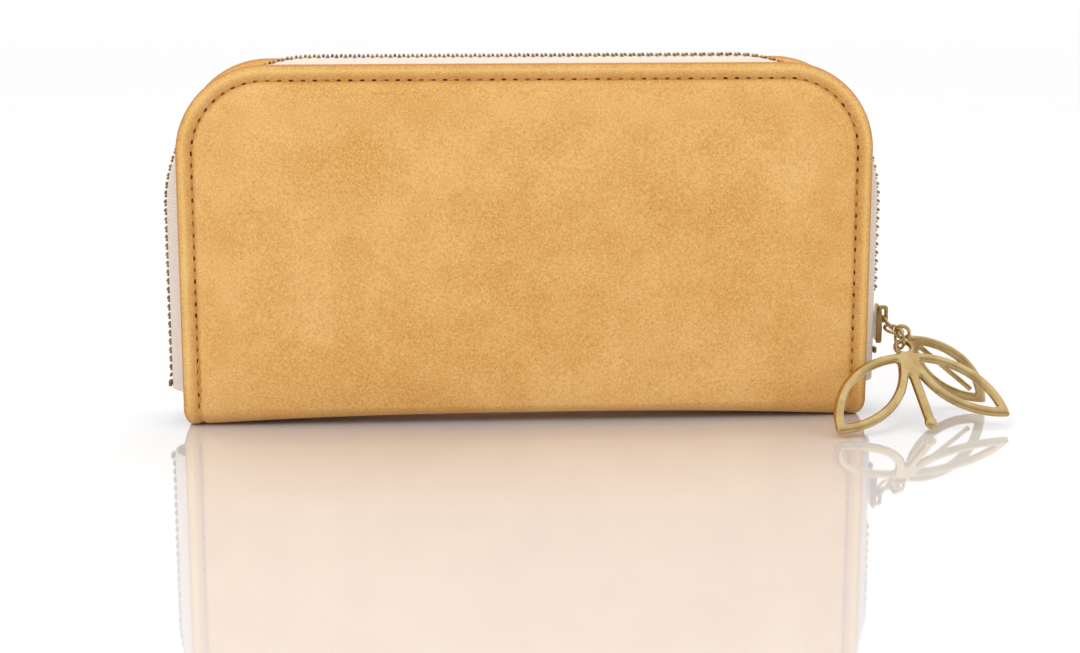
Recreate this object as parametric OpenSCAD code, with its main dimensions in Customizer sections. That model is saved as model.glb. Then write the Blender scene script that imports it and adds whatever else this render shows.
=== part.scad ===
// Zip-around wallet standing on its spine, with a pull charm on the slider.
// Frame: origin on the floor under the middle of the spine, +Z up,
// the front cover faces -Y, and the slider parks low on the +X side.
// Side -1 is the front half and side +1 is the back half.

/* [Case] */
// Width of the case over the turned rims
body_w = 195; // [190:1:205]
// Height of the covers' top rim above the floor
body_h = 102; // [98:1:108]
// Depth over the two rims
body_d = 25; // [25:0.5:27]
// Radius of a cover's top corners
corner_r = 25; // [20:1:28]
// Thickness of the outer leather
leather_t = 1.2; // [1:0.1:1.4]
// Length of the flat strip of spine that rests on the floor
foot_l = 176; // [150:1:180]

/* [Main zip] */
// How far the ridge of the zip stands out past the rims at the sides
ridge_side = 3.6; // [3:0.1:5]
// How far the ridge of the zip stands out past the top rim
ridge_top = 0.8; // [0.5:0.1:3]
// Radius of the ridge's path at the top corners
ridge_r = 42; // [36:1:46]
// Thickness of the woven tape
tape_t = 0.6; // [0.5:0.05:0.7]
// Distance from one tooth to the next on a row
tooth_pitch = 2.5; // [2.4:0.05:2.8]
// Height of the slider's middle above the floor when the zip is shut
slider_z = 25; // [25:0.5:32]
// Length of the slider
slider_l = 11; // [10:0.5:12]

/* [Inside] */
// Thickness of one layer of card slots
slot_t = 0.6; // [0.5:0.05:0.6]
// Number of stepped card layers on each side
slot_count = 3; // [2:1:3]
// Depth over the coin purse
purse_d = 5.4; // [5.4:0.1:5.6]

/* [Charms] */
// Width of the flat wire that the charms are bent from
wire_w = 2.8; // [2.4:0.1:3]
// Thickness of that wire
wire_t = 2.1; // [1.8:0.1:2.3]
// Mean radius of the jump rings
ring_r = 2.7; // [2.6:0.1:2.9]
// Wire radius of the jump rings
ring_wire_r = 0.45; // [0.4:0.05:0.5]

/* [Hidden] */
$fn = 64;

tan_leather = "#dba65a";
cream_tape = "#ead9c6";
cream_lining = "#e6d6bd";
gold = "#d8b25a";
card_grey = "#b9b2a6";
foam_white = "#ece8df";

gap = 0.05;              // clearance between faces that lie on each other
rim_y = body_d / 2;      // outer face of a cover
inner_y = rim_y - 2.4;   // inner edge of a cover's turned rim
puff = 1;                // how far the padded middle of a cover stands out past its rim
board_t = 0.9;
lining_t = 0.4;
lining_y = inner_y - 0.7; // outer face of a lining
slots_y = lining_y - lining_t - gap;
fold_y = 9.5;            // fold lines of the spine
fold_z = 2.5;
fold_r = 2.3;
cover_z = 5.2;           // lower edge of a cover
slot_w = body_w - 24;
slot_z = 7;
purse_w = 176;
purse_z = 9;
purse_h = 74;
purse_wall = 0.6;
gusset_x = 91.2;         // outer edge of a gusset
gusset_in = 86.8;        // inner edge of a gusset's pleat

// Half width, height and corner radius of the ridge that the zip runs along
ridge_x = body_w / 2 + ridge_side;
ridge_z = body_h + ridge_top;
tape_foot_z = 9.5;       // lower end of the tapes on the left
tape_root_in = 3.2;      // how far inside the rim's outline the tapes are sewn
tooth_l = 1.1;
tooth_w = 2.4;
tooth_h = 1.9;
tooth_gap = 0.4;         // half of the way left between the rows for the slider's wedge

// ---- shared shapes ----

// Fills the space from y0 to y1 with an outline drawn in X and Z
module slab(y0, y1) {
    translate([0, y1, 0]) rotate([90, 0, 0]) linear_extrude(y1 - y0) children();
}

// Same, on the front (side -1) or the back (side 1), between two distances from the middle
module half_slab(side, near, far) {
    if (side < 0) slab(-far, -near) children();
    else slab(near, far) children();
}

// Outline of a cover, drawn in by an inset, from height z0 up
module cover_outline(inset, z0) {
    r = corner_r - inset;
    w = body_w - 2 * inset;
    top = body_h - inset;
    translate([-w / 2, z0]) square([w, top - r - z0]);
    translate([-w / 2 + r, z0]) square([w - 2 * r, top - z0]);
    for (s = [-1, 1]) translate([s * (w / 2 - r), top - r]) circle(r);
}

// Flat panel outline with rounded top corners
module panel_outline(w, z0, z1, r) {
    translate([-w / 2, z0]) square([w, z1 - r - z0]);
    translate([-w / 2 + r, z0]) square([w - 2 * r, z1 - z0]);
    for (s = [-1, 1]) translate([s * (w / 2 - r), z1 - r]) circle(r);
}

// ---- covers ----

// Leather skin of one cover: a shallow tray, open at the spine, with its rim turned in and its
// middle raised over the foam
module cover(side) {
    color(tan_leather) difference() {
        union() {
            half_slab(side, inner_y, rim_y - 0.9) cover_outline(0, cover_z);
            half_slab(side, rim_y - 1, rim_y) cover_outline(0.7, cover_z);
            half_slab(side, rim_y - 0.1, rim_y + puff) cover_outline(6, cover_z);
        }
        half_slab(side, inner_y - 1, rim_y - leather_t) cover_outline(leather_t + 0.3, cover_z - 1);
        half_slab(side, inner_y, rim_y + puff - leather_t) cover_outline(7.5, cover_z - 1);
    }
}

board_y = rim_y - leather_t - gap;
module foam(side) {
    color(foam_white)
        half_slab(side, board_y + gap, rim_y + puff - leather_t - gap) cover_outline(8, cover_z + 1);
}

module board(side) {
    color(card_grey) half_slab(side, board_y - board_t, board_y) cover_outline(1.8, cover_z + 0.5);
}

module lining(side) {
    color(cream_lining) half_slab(side, lining_y - lining_t, lining_y) cover_outline(4.8, cover_z + 0.5);
}

// One layer of card slots: layer 1 is the tallest and lies against the lining
module slot_layer(side, layer) {
    far = slots_y - (layer - 1) * (slot_t + gap);
    top = 88 - (layer - 1) * 13;
    color(tan_leather) half_slab(side, far - slot_t, far) panel_outline(slot_w, slot_z, top, 5);
}

// ---- spine ----

// Leather spine with a flat foot and a round roll along each fold
module spine() {
    color(tan_leather) difference() {
        union() {
            translate([-foot_l / 2, -fold_y, 0]) cube([foot_l, 2 * fold_y, leather_t]);
            translate([-body_w / 2 + 1, -fold_y, 0.2]) cube([body_w - 2, 2 * fold_y, leather_t]);
            for (s = [-1, 1]) translate([-body_w / 2 + 1, s * fold_y, fold_z])
                rotate([0, 90, 0]) cylinder(r = fold_r, h = body_w - 2);
        }
        translate([0, 0, -5]) slab(-20, 20) square([body_w + 10, 10], center = true);
    }
}

module spine_lining() {
    color(cream_lining) translate([-slot_w / 2, -6.5, leather_t + 0.2 + gap]) cube([slot_w, 13, lining_t]);
}

// ---- main zip ----

// A path of straight sides and round corners, run from the left foot over the top to the right
// foot. It gives [x, z] and the outward direction at a distance s along it.
function path_len(hx, hz, r, z0) = 2 * (hz - r - z0) + 2 * (hx - r) + PI * r;
function path_at(s, hx, hz, r, z0) =
    let (up = hz - r - z0, arc = PI * r / 2, across = 2 * (hx - r))
    s < up ? [-hx, z0 + s, 180]
    : s < up + arc ? let (a = 180 - (s - up) / r * 180 / PI)
        [-hx + r + r * cos(a), hz - r + r * sin(a), a]
    : s < up + arc + across ? [-hx + r + s - up - arc, hz, 90]
    : s < up + 2 * arc + across ? let (a = 90 - (s - up - arc - across) / r * 180 / PI)
        [hx - r + r * cos(a), hz - r + r * sin(a), a]
    : [hx, hz - r - (s - up - 2 * arc - across), 0];

ridge_len = path_len(ridge_x, ridge_z, ridge_r, tape_foot_z);
root_x = body_w / 2 - tape_root_in;
root_z = body_h - tape_root_in;
root_r = corner_r - tape_root_in;

// Station k of n along the ridge and the matching place on the sewn edge: both halves of the
// path are walked at the same share of their straights and arcs
tape_steps = [12, 14, 20, 14, 12];
function stretch(k, i = 0) = k <= tape_steps[i] || i == 4 ? [i, k / tape_steps[i]]
    : stretch(k - tape_steps[i], i + 1);
function stretch_at(i, t, hx, hz, r) =
    let (up = hz - r - tape_foot_z)
    i == 0 ? [-hx, tape_foot_z + t * up]
    : i == 1 ? let (a = 180 - 90 * t) [-hx + r + r * cos(a), hz - r + r * sin(a)]
    : i == 2 ? [(2 * t - 1) * (hx - r), hz]
    : i == 3 ? let (a = 90 - 90 * t) [hx - r + r * cos(a), hz - r + r * sin(a)]
    : [hx, hz - r - t * up];
// Direction that points out of the case there, as an angle
function stretch_out(i, t) = i == 0 ? 180 : i == 1 ? 180 - 90 * t : i == 2 ? 90 : i == 3 ? 90 - 90 * t : 0;
tape_total = 72;

// Section of a tape from the sewn edge (u = 0) to the ridge (u = 1): it leaves the rim and
// rounds over to lie flat under the teeth. Part of its depth is lost evenly, so that the section
// never starts on the spot where the sewn edge and the ridge are in line.
tape_y0 = inner_y - 0.35;
tape_y1 = 0.7;
tape_even = 0.35;
function tape_depth(u) =
    tape_y1 + (tape_y0 - tape_y1) * ((1 - tape_even) * cos(u * 90) + tape_even * (1 - u));
function tape_root(k) = let (q = stretch(k)) stretch_at(q[0], q[1], root_x, root_z, root_r);
function tape_ridge(k) = let (q = stretch(k)) stretch_at(q[0], q[1], ridge_x, ridge_z, ridge_r);
function tape_mid(side, k, u) =
    let (a = tape_root(k), p = a + (tape_ridge(k) - a) * sin(u * 90))
    [p[0], side * tape_depth(u), p[1]];
tape_us = [0, 0.2, 0.4, 0.6, 0.8, 1];
// Direction of the tape's thickness at a station and share u: square to the case's edge and to
// the section, and always out of the case
function tape_normal(side, k, u) =
    let (q = stretch(k), out = stretch_out(q[0], q[1]),
         d = (tape_ridge(k) - tape_root(k)) * PI / 2 * cos(u * 90),
         fall = (tape_y0 - tape_y1) * ((1 - tape_even) * PI / 2 * sin(u * 90) + tape_even),
         n = cross([d[0], -side * fall, d[1]], [sin(out), 0, -cos(out)]) * side)
    n / norm(n);
tape_faces_n = len(tape_us);

module tape(side) {
    m = tape_faces_n;
    pts = [for (k = [0:tape_total]) each concat(
        [for (i = [0:m - 1]) tape_mid(side, k, tape_us[i]) + tape_normal(side, k, tape_us[i]) * tape_t / 2],
        [for (i = [m - 1:-1:0]) tape_mid(side, k, tape_us[i]) - tape_normal(side, k, tape_us[i]) * tape_t / 2])];
    c = 2 * m;
    walls = [for (k = [0:tape_total - 1], i = [0:c - 1]) each
        [[k * c + i, (k + 1) * c + i, k * c + (i + 1) % c],
         [k * c + (i + 1) % c, (k + 1) * c + i, (k + 1) * c + (i + 1) % c]]];
    first = [for (i = [0:m - 2]) each
        [[i, i + 1, c - 2 - i], [i, c - 2 - i, c - 1 - i]]];
    z = tape_total * c;
    last = [for (i = [0:m - 2]) each
        [[z + i, z + c - 2 - i, z + i + 1], [z + i, z + c - 1 - i, z + c - 2 - i]]];
    flat = concat(walls, first, last);
    turned = side > 0 ? flat : [for (f = flat) [f[0], f[2], f[1]]];
    color(cream_tape) polyhedron(pts, turned);
}

// Places children at a distance along the ridge, their +X pointing out of the case
module at_ridge(s) {
    p = path_at(s, ridge_x, ridge_z, ridge_r, tape_foot_z);
    translate([p[0], 0, p[1]]) rotate([0, -p[2], 0]) children();
}

// The rows end just above the parked slider
teeth_start = 3.5;
teeth_end = ridge_len - (slider_z + slider_l / 2 + 1 - tape_foot_z);
teeth_n = floor((teeth_end - teeth_start) / tooth_pitch);

module teeth(side) {
    color(gold) for (i = [0:teeth_n - 1])
        at_ridge(teeth_start + (i + (side < 0 ? 0 : 0.5)) * tooth_pitch)
            translate([tape_t / 2 + gap, side < 0 ? -tooth_gap - tooth_w : tooth_gap, -tooth_l / 2])
                cube([tooth_h / 2, tooth_w, tooth_l]);
}

module bottom_stop() {
    color(gold) at_ridge(1.2) translate([tape_t / 2 + gap, -3, -0.9]) cube([1, 2.8, 1.8]);
}

module top_stop() {
    color(gold) at_ridge(ridge_len - (slider_z - slider_l / 2 - 2 - tape_foot_z))
        translate([tape_t / 2 + gap, -3.2, -0.9]) cube([0.9, 2.6, 1.8]);
}

// ---- gussets ----

// One leaf of the pleated side gusset, between a card panel and the coin purse
module gusset(side, x_side) {
    y0 = purse_d / 2 + 0.25;
    y1 = slots_y - slot_count * (slot_t + gap) - 0.15;
    t = 0.5;
    outer = x_side * gusset_x;
    inner = x_side * gusset_in;
    color(cream_lining) translate([0, 0, slot_z + 1]) linear_extrude(70)
        polygon([[outer, side * y1], [outer, side * (y1 - t)], [inner + x_side * 2 * t, side * (y0 + t)],
                 [outer, side * (y0 + t)], [outer, side * y0], [inner, side * y0]]);
}

// ---- coin purse ----

module purse_panel(side) {
    color(cream_lining) half_slab(side, purse_d / 2 - purse_wall, purse_d / 2)
        panel_outline(purse_w, purse_z, purse_z + purse_h, 4);
}

// Strip that closes the purse at its bottom and its two ends
module purse_edge_strip() {
    d = purse_d / 2 - purse_wall - gap;
    color(cream_lining) difference() {
        slab(-d, d) panel_outline(purse_w, purse_z, purse_z + purse_h - 6, 1);
        slab(-d - 1, d + 1) translate([-purse_w / 2 + 1.2, purse_z + 1.2]) square([purse_w - 2.4, purse_h]);
    }
}

purse_top = purse_z + purse_h;
// The zip across the purse's mouth: a tape on each wall, turned in at the top to carry the teeth
module purse_tape(side) {
    d = purse_d / 2 - purse_wall - gap;
    color(cream_tape) {
        half_slab(side, d - 0.5, d)
            translate([-purse_w / 2 + 5, purse_top - 9]) square([purse_w - 10, 9]);
        half_slab(side, 0.12, d - 0.4)
            translate([-purse_w / 2 + 5, purse_top - 0.5]) square([purse_w - 10, 0.5]);
    }
}

purse_teeth_n = 96;
purse_pitch = 1.6;
module purse_teeth() {
    color(gold) for (i = [0:purse_teeth_n - 1])
        translate([(i - purse_teeth_n / 2) * purse_pitch, i % 2 == 0 ? -0.5 : 0.1, purse_top + gap])
            cube([0.9, 0.4, 1.3]);
}

purse_slider_x = 68;
purse_pin_z = purse_top + 5.2;
module purse_slider() {
    color(gold) difference() {
        union() {
            translate([purse_slider_x - 4, -2.4, purse_top + 0.6]) cube([8, 4.8, 3.6]);
            translate([purse_slider_x - 2.2, -0.5, purse_top + 4]) cube([4.4, 1, 2.3]);
        }
        translate([purse_slider_x - 5, -1.35, purse_top - 1]) cube([10, 2.7, 4.2]);
        translate([purse_slider_x, 0, purse_pin_z])
            rotate([90, 0, 0]) cylinder(r = 0.6, h = 4, center = true);
    }
}

// Pull tab that hangs from a pin through the slider's crown
module purse_puller() {
    color(gold) translate([purse_slider_x, 0, purse_pin_z]) {
        rotate([90, 0, 0]) cylinder(r = 0.5, h = 3.2, center = true);
        for (s = [-1, 1]) translate([-0.6, s * 1.15 - 0.45, -0.5]) cube([5, 0.9, 1]);
        difference() {
            translate([4, -2.2, -0.5]) cube([8, 4.4, 1]);
            translate([9.5, 0, -2]) cylinder(r = 1.2, h = 4);
        }
    }
}

// ---- slider, rings and charms ----

plate_t = 0.9;
channel = 1.5;           // half height of the slider's channel
crown_x = ridge_x + channel + plate_t;

module zip_slider() {
    color(gold) difference() {
        union() {
            // plates over and under the zip
            for (x = [ridge_x - channel - plate_t, ridge_x + channel])
                translate([x, -4.4, slider_z - slider_l / 2]) cube([plate_t, 8.8, slider_l]);
            // wedge that parts the rows
            translate([ridge_x - channel - 0.1, -0.3, slider_z - slider_l / 2])
                cube([2 * channel + 0.2, 0.6, 3.2]);
            // edge of the plates on the front side
            translate([ridge_x + 0.75, -4.4, slider_z - slider_l / 2]) cube([channel, 0.8, slider_l]);
            // crown that carries the first ring
            translate([crown_x - 0.1, -0.8, slider_z + 0.2]) cube([2.6, 1.6, 5]);
        }
        translate([crown_x, 0, slider_z + 1.5]) slab(-2, 2) square([1.5, 2.7]);
    }
}

// The chain from the crown to the charms. A ring's way runs through it towards what hangs on it,
// and its facing is the normal of its plane.
hook = [crown_x + 0.75, 0, slider_z + 1.5 + ring_wire_r + 0.2];
link_in = ring_r - 2 * ring_wire_r - 0.2;
function unit(v) = v / norm(v);
function across(v, w) = unit(v - w * (v * w));
way_1 = unit([0.62, 0, -0.785]);
way_2 = unit([0.25, -0.93, -0.27]);
way_3 = unit([0.2, -0.72, -0.66]);
face_1 = across([1, 0, 1], way_1);
face_2 = across([0, 0.3, 1], way_2);
face_3 = across([1, 0.2, 0], way_3);
side_2 = cross(face_2, way_2);

// Middle of the ring that hangs on another one and leads off along way
function next_mid(mid, face, way) = mid + across(way, face) * link_in + way * ring_r;
mid_1 = hook + way_1 * ring_r;
mid_2 = next_mid(mid_1, face_1, way_2);
mid_3 = next_mid(mid_2, face_2, way_3);

module ring(mid, way, face) {
    b = cross(face, way);
    color(gold) translate(mid)
        multmatrix([[way[0], b[0], face[0], 0], [way[1], b[1], face[1], 0], [way[2], b[2], face[2], 0]])
            rotate_extrude() translate([ring_r, 0]) circle(ring_wire_r, $fn = 24);
}

module ring_1() ring(mid_1, way_1, face_1);
module ring_2() ring(mid_2, way_2, face_2);
module ring_3() ring(mid_3, way_3, face_3);

// Outline of a pointed leaf from its base at the origin to its tip at [0, -l], as a closed line
// of flat wire whose sides are arcs
module leaf(l, w) {
    r = (l * l / 4 + w * w / 4) / w;
    d = r - w / 2;
    translate([0, -l / 2]) difference() {
        intersection_for(s = [-1, 1]) translate([s * d, 0]) circle(r, $fn = 160);
        intersection_for(s = [-1, 1]) translate([s * d, 0]) circle(r - wire_w, $fn = 160);
    }
}

front_eye_r = 1.8;
front_eye_rim = 1.2;
rear_eye_r = 1.5;
rear_eye_rim = 1;

// Two-leaf sprig with its eye at the origin, hanging along -Y of its own plane
module sprig_outline() {
    difference() {
        union() {
            circle(front_eye_r + front_eye_rim);
            translate([-0.5, -2.4]) rotate(-45) leaf(39, 16.5);
            translate([0.5, -2.4]) rotate(44) leaf(34, 15);
            translate([-wire_w / 2, -28]) square([wire_w, 26]);
            translate([0, -28]) circle(wire_w / 2 + 0.4);
        }
        circle(front_eye_r);
    }
}

// Single leaf with a rib down its middle
module leaf_outline() {
    difference() {
        union() {
            circle(rear_eye_r + rear_eye_rim);
            translate([0, -1.9]) leaf(31, 14);
            translate([-wire_w / 4, -27]) square([wire_w / 2, 25]);
        }
        circle(rear_eye_r);
    }
}

// Hangs a flat outline from its eye: turned in its plane by roll, leaned out by lean, and
// turned about the vertical by yaw
module charm(eye, roll, lean, yaw) {
    color(gold) translate(eye) rotate([0, 0, yaw]) rotate([90 - lean, 0, 0]) rotate([0, 0, roll])
        translate([0, 0, -wire_t / 2]) linear_extrude(wire_t) children();
}

eye_drop = 0.45;         // the wire of a ring lies this far above the middle of an eye
eye_front = mid_3 + way_3 * (ring_r + eye_drop);
rear_way = unit(side_2 + way_2 * 0.2);
eye_rear = mid_2 + rear_way * ring_r - [0, 0, eye_drop];
module front_charm() charm(eye_front, 0, 53, 8) sprig_outline();
module rear_charm() charm(eye_rear, 47, -20, -20) leaf_outline();

cover(-1);  // front_cover
foam(-1);  // front_foam
board(-1);  // front_board
lining(-1);  // front_lining
slot_layer(-1, 1);  // front_slot_1
slot_layer(-1, 2);  // front_slot_2
slot_layer(-1, 3);  // front_slot_3
tape(-1);  // front_zip_tape
teeth(-1);  // front_zip_teeth
gusset(-1, -1);  // front_gusset_left
gusset(-1, 1);  // front_gusset_right
spine();
spine_lining();
bottom_stop();  // zip_bottom_stop
top_stop();  // zip_top_stop
cover(1);  // back_cover
foam(1);  // back_foam
board(1);  // back_board
lining(1);  // back_lining
slot_layer(1, 1);  // back_slot_1
slot_layer(1, 2);  // back_slot_2
slot_layer(1, 3);  // back_slot_3
tape(1);  // back_zip_tape
teeth(1);  // back_zip_teeth
gusset(1, -1);  // back_gusset_left
gusset(1, 1);  // back_gusset_right
purse_panel(-1);  // purse_front_panel
purse_panel(1);  // purse_back_panel
purse_edge_strip();
purse_tape(-1);  // purse_front_tape
purse_tape(1);  // purse_back_tape
purse_teeth();
purse_slider();
purse_puller();
zip_slider();
ring_1();
ring_2();
ring_3();
front_charm();
rear_charm();
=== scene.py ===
import math

import bmesh
import bpy
import numpy as np
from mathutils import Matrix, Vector, kdtree, noise


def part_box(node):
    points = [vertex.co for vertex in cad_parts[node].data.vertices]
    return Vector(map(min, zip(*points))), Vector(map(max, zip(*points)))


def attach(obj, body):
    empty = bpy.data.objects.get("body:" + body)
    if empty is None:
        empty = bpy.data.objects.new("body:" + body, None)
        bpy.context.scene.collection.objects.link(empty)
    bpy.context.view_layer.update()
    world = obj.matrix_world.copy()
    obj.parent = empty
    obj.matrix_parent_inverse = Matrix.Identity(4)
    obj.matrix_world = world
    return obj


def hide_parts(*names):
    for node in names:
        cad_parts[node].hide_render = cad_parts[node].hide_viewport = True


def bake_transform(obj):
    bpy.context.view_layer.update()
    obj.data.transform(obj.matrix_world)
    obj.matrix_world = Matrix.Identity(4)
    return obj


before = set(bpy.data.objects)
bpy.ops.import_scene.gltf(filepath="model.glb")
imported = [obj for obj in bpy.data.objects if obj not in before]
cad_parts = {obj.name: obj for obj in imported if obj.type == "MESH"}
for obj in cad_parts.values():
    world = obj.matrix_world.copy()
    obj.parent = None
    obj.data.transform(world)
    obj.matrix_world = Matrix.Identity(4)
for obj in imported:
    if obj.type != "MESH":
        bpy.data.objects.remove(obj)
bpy.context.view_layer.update()  # frame["bodies"], ["nodes"], ["joints"], ["record"]

# Shapes are worked out in millimetres and made in metres
MM = 0.001
scene = bpy.context.scene


def box_mm(node):
    low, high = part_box(node)
    return np.array(low) / MM, np.array(high) / MM


def size_mm(node):
    low, high = box_mm(node)
    return high - low


# ---- driving dimensions, from the frame ----

cover_low, cover_high = box_mm("front_cover")
BODY_W = cover_high[0] - cover_low[0]
BODY_H = cover_high[2]
PUFF_Y = -cover_low[1]  # outer face of the padded middle
RIM_Y = PUFF_Y - 1.0
INNER_Y = -cover_high[1]  # inner face of the turned rim
CORNER_R = 25.0
BEND_R = 5.0  # radius of the leather's bend round the spine
SKIN_T = 0.95
FLAP_IN = 6.5  # how far the turned-in edge reaches
ARCH = 2.2  # rise of the bottom edge between the corners
ARCH_HALF = 93  # half length of that rise
FOOT_LIFT = 0.1  # the leather's foot lies this far above the floor
SEAM_Z = 5.2  # where the bend starts

tape_low, tape_high = box_mm("front_zip_tape")
RIDGE_X = tape_high[0] - 0.3
RIDGE_Z = tape_high[2] - 0.3
RIDGE_R = 42.0
TAPE_T = 0.6
TAPE_FOOT_Z = tape_low[2]
ROOT_IN = 3.2
TAPE_Y0, TAPE_Y1 = 9.75, 0.7
TAPE_EVEN = 0.35  # share of the tape's depth that is lost evenly along its section
TOOTH_PITCH = 2.5

# ---- mesh helpers ----


def new_object(name, data):
    obj = bpy.data.objects.new(name, data)
    scene.collection.objects.link(obj)
    return obj


def make_piece(name, verts, faces, material, smooth_angle=40, uv=None):
    """A mesh object from points in millimetres."""
    mesh = bpy.data.meshes.new(name)
    mesh.from_pydata((np.asarray(verts, float) * MM).tolist(), [], [list(map(int, f)) for f in faces])
    mesh.validate()
    mesh.polygons.foreach_set("use_smooth", [True] * len(mesh.polygons))
    mesh.set_sharp_from_angle(angle=math.radians(smooth_angle))
    if uv is not None:
        layer = mesh.uv_layers.new(name="run")
        loops = np.zeros(len(mesh.loops), int)
        mesh.loops.foreach_get("vertex_index", loops)
        layer.data.foreach_set("uv", (np.asarray(uv, float)[loops] * MM).ravel())
    mesh.materials.append(material)
    bm = bmesh.new()
    bm.from_mesh(mesh)
    bmesh.ops.recalc_face_normals(bm, faces=bm.faces)
    bm.to_mesh(mesh)
    bm.free()
    return new_object(name, mesh)


def grid_faces(rows, cols, start=0, close_cols=False):
    """Quads over a grid of points that are numbered row by row."""
    faces = []
    wide = cols if close_cols else cols - 1
    for r in range(rows - 1):
        for c in range(wide):
            a = start + r * cols + c
            b = start + r * cols + (c + 1) % cols
            faces.append((a, b, b + cols, a + cols))
    return faces


def tube_faces(rows, cols):
    """Faces over rings of points, with a cap at each end."""
    caps = [tuple(range(cols - 1, -1, -1)), tuple(range((rows - 1) * cols, rows * cols))]
    return grid_faces(rows, cols, close_cols=True) + caps


def gather(*parts):
    """Several sets of points and faces as one."""
    verts, faces, total = [], [], 0
    for points, part_faces in parts:
        verts.append(points)
        faces += [tuple(v + total for v in f) for f in part_faces]
        total += len(points)
    return np.vstack(verts), faces


def scatter(shape, places):
    """Copies of a shape at (point, along, across, out) places, as one set of points and faces."""
    part, faces = shape
    return gather(*((at + part @ np.array([across, out, run]), faces) for at, run, across, out in places))


def finish_piece(obj, body, stands_for=()):
    if body:
        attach(obj, body)
    if stands_for:
        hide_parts(*stands_for)
    return obj


# ---- paths round the case ----


N_UP, N_ARC, N_TOP = 60, 36, 110  # points up a side, round a corner and along the top
CORNER = N_UP + N_ARC // 2


def u_path(half_w, top, r, z0, n_up=N_UP, n_arc=N_ARC, n_top=N_TOP):
    """Points [x, z] and outward normals along a U turned upside down, left foot to right foot."""
    a = np.linspace(math.pi, math.pi / 2, n_arc, endpoint=False)
    up, level = np.ones(n_up), np.ones(n_top)
    left = np.c_[-half_w * up, np.linspace(z0, top - r, n_up, endpoint=False), -up, 0 * up]
    arc = np.c_[-half_w + r + r * np.cos(a), top - r + r * np.sin(a), np.cos(a), np.sin(a)]
    across = np.c_[np.linspace(-half_w + r, half_w - r, n_top), top * level, 0 * level, level]
    mirror = [-1, 1, -1, 1]
    path = np.vstack([left, arc, across, (arc * mirror)[::-1], (left * mirror)[::-1]])
    return path[:, :2], path[:, 2:]


def arc_lengths(points):
    return np.r_[0, np.cumsum(np.linalg.norm(np.diff(points, axis=0), axis=1))]


def along(points, normals, s):
    """Points and normals at distances s along a path."""
    run = arc_lengths(points)
    p, n = (np.array([np.interp(s, run, column) for column in a.T]).T for a in (points, normals))
    return p, n / np.linalg.norm(n, axis=1)[:, None]


def cover_path(inset, z0=SEAM_Z):
    r = max(CORNER_R - inset, 1.0)
    return u_path(BODY_W / 2 - inset, BODY_H - inset, r, z0)


# ---- leather ----

STITCH_PITCH = 3.25
GROOVE_D = 4.4  # from the outline to the sewn groove
CREST_D, VALLEY_D = 1.7, 3.2  # the same to the roll's crest, and to the slope behind it, which get a painted highlight and painted shade


def corner_distance(side, top, r):
    """Distance to an outline with rounded top corners, from the distances to its side and its top."""
    corner = r - np.hypot(np.maximum(r - side, 0), np.maximum(r - top, 0))
    return np.where((side < r) & (top < r), corner, np.minimum(side, top))


def edge_distance(x, z):
    """Distance from a point of a cover to its outline, which is open at the bottom."""
    return corner_distance(BODY_W / 2 - np.abs(x), BODY_H - z, CORNER_R)


# Rise of the leather over the rim plane against the distance from the outline
PROFILE_D = [1.6, 2.6, 3.5, 4.0, GROOVE_D, 4.9, 5.8, 7.5, 11.0, 18.0, 32.0, 60.0]
PROFILE_H = [0.10, 0.06, -0.12, -0.30, -0.52, -0.22, 0.12, 0.36, 0.62, 0.85, 0.97, 1.0]


def smooth_profile(d):
    d = np.asarray(d, float)
    t = np.linspace(0, 60, 601)
    raw = np.interp(t, PROFILE_D, PROFILE_H)
    soft = np.convolve(np.pad(raw, 3, mode="edge"), np.hanning(9)[1:-1] / np.hanning(9).sum(), "valid")
    return np.interp(d, t, soft)


def pucker(x, z, d, seed):
    """Small hollows that the stitches pull in, and the slow waviness of soft leather."""
    hollow = np.exp(-(((d - GROOVE_D) / 1.5) ** 2))
    run = np.where(BODY_H - z < BODY_W / 2 - np.abs(x), x, z)
    ripple = 0.05 * hollow * np.cos(2 * math.pi * run / STITCH_PITCH)
    wave = [
        0.13 * noise.noise((a / 26 + seed, b / 22, seed))
        + 0.05 * noise.noise((a / 9, b / 8 + seed, 3 + seed))
        for a, b in zip(np.ravel(x), np.ravel(z))
    ]
    return ripple + np.reshape(wave, np.shape(x)) * np.clip(d / 6, 0, 1)


def close_sheet(outer, inner, faces):
    """Joins an outer and an inner sheet of the same faces into one closed skin."""
    used = {}
    for f in faces:
        for a, b in zip(f, (*f[1:], f[0])):
            used.setdefault((min(a, b), max(a, b)), []).append((a, b))
    edges = [runs[0] for runs in used.values() if len(runs) == 1]
    n = len(outer)
    walls = [(b, a, a + n, b + n) for a, b in edges]
    flipped = [tuple(v + n for v in f[::-1]) for f in faces]
    return np.vstack([outer, inner]), [*faces, *flipped, *walls]


def merge(points, others, faces):
    """Merges points that lie on each other, and carries other arrays along."""
    _, first, back = np.unique(np.round(points, 5), axis=0, return_index=True, return_inverse=True)
    back = back.ravel()
    kept = []
    for f in faces:
        g = [int(back[v]) for v in f]
        g = [v for k, v in enumerate(g) if v != g[k - 1]]
        if len(set(g)) == len(g) > 2:
            kept.append(tuple(g))
    return points[first], [o[first] for o in others], kept


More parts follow.
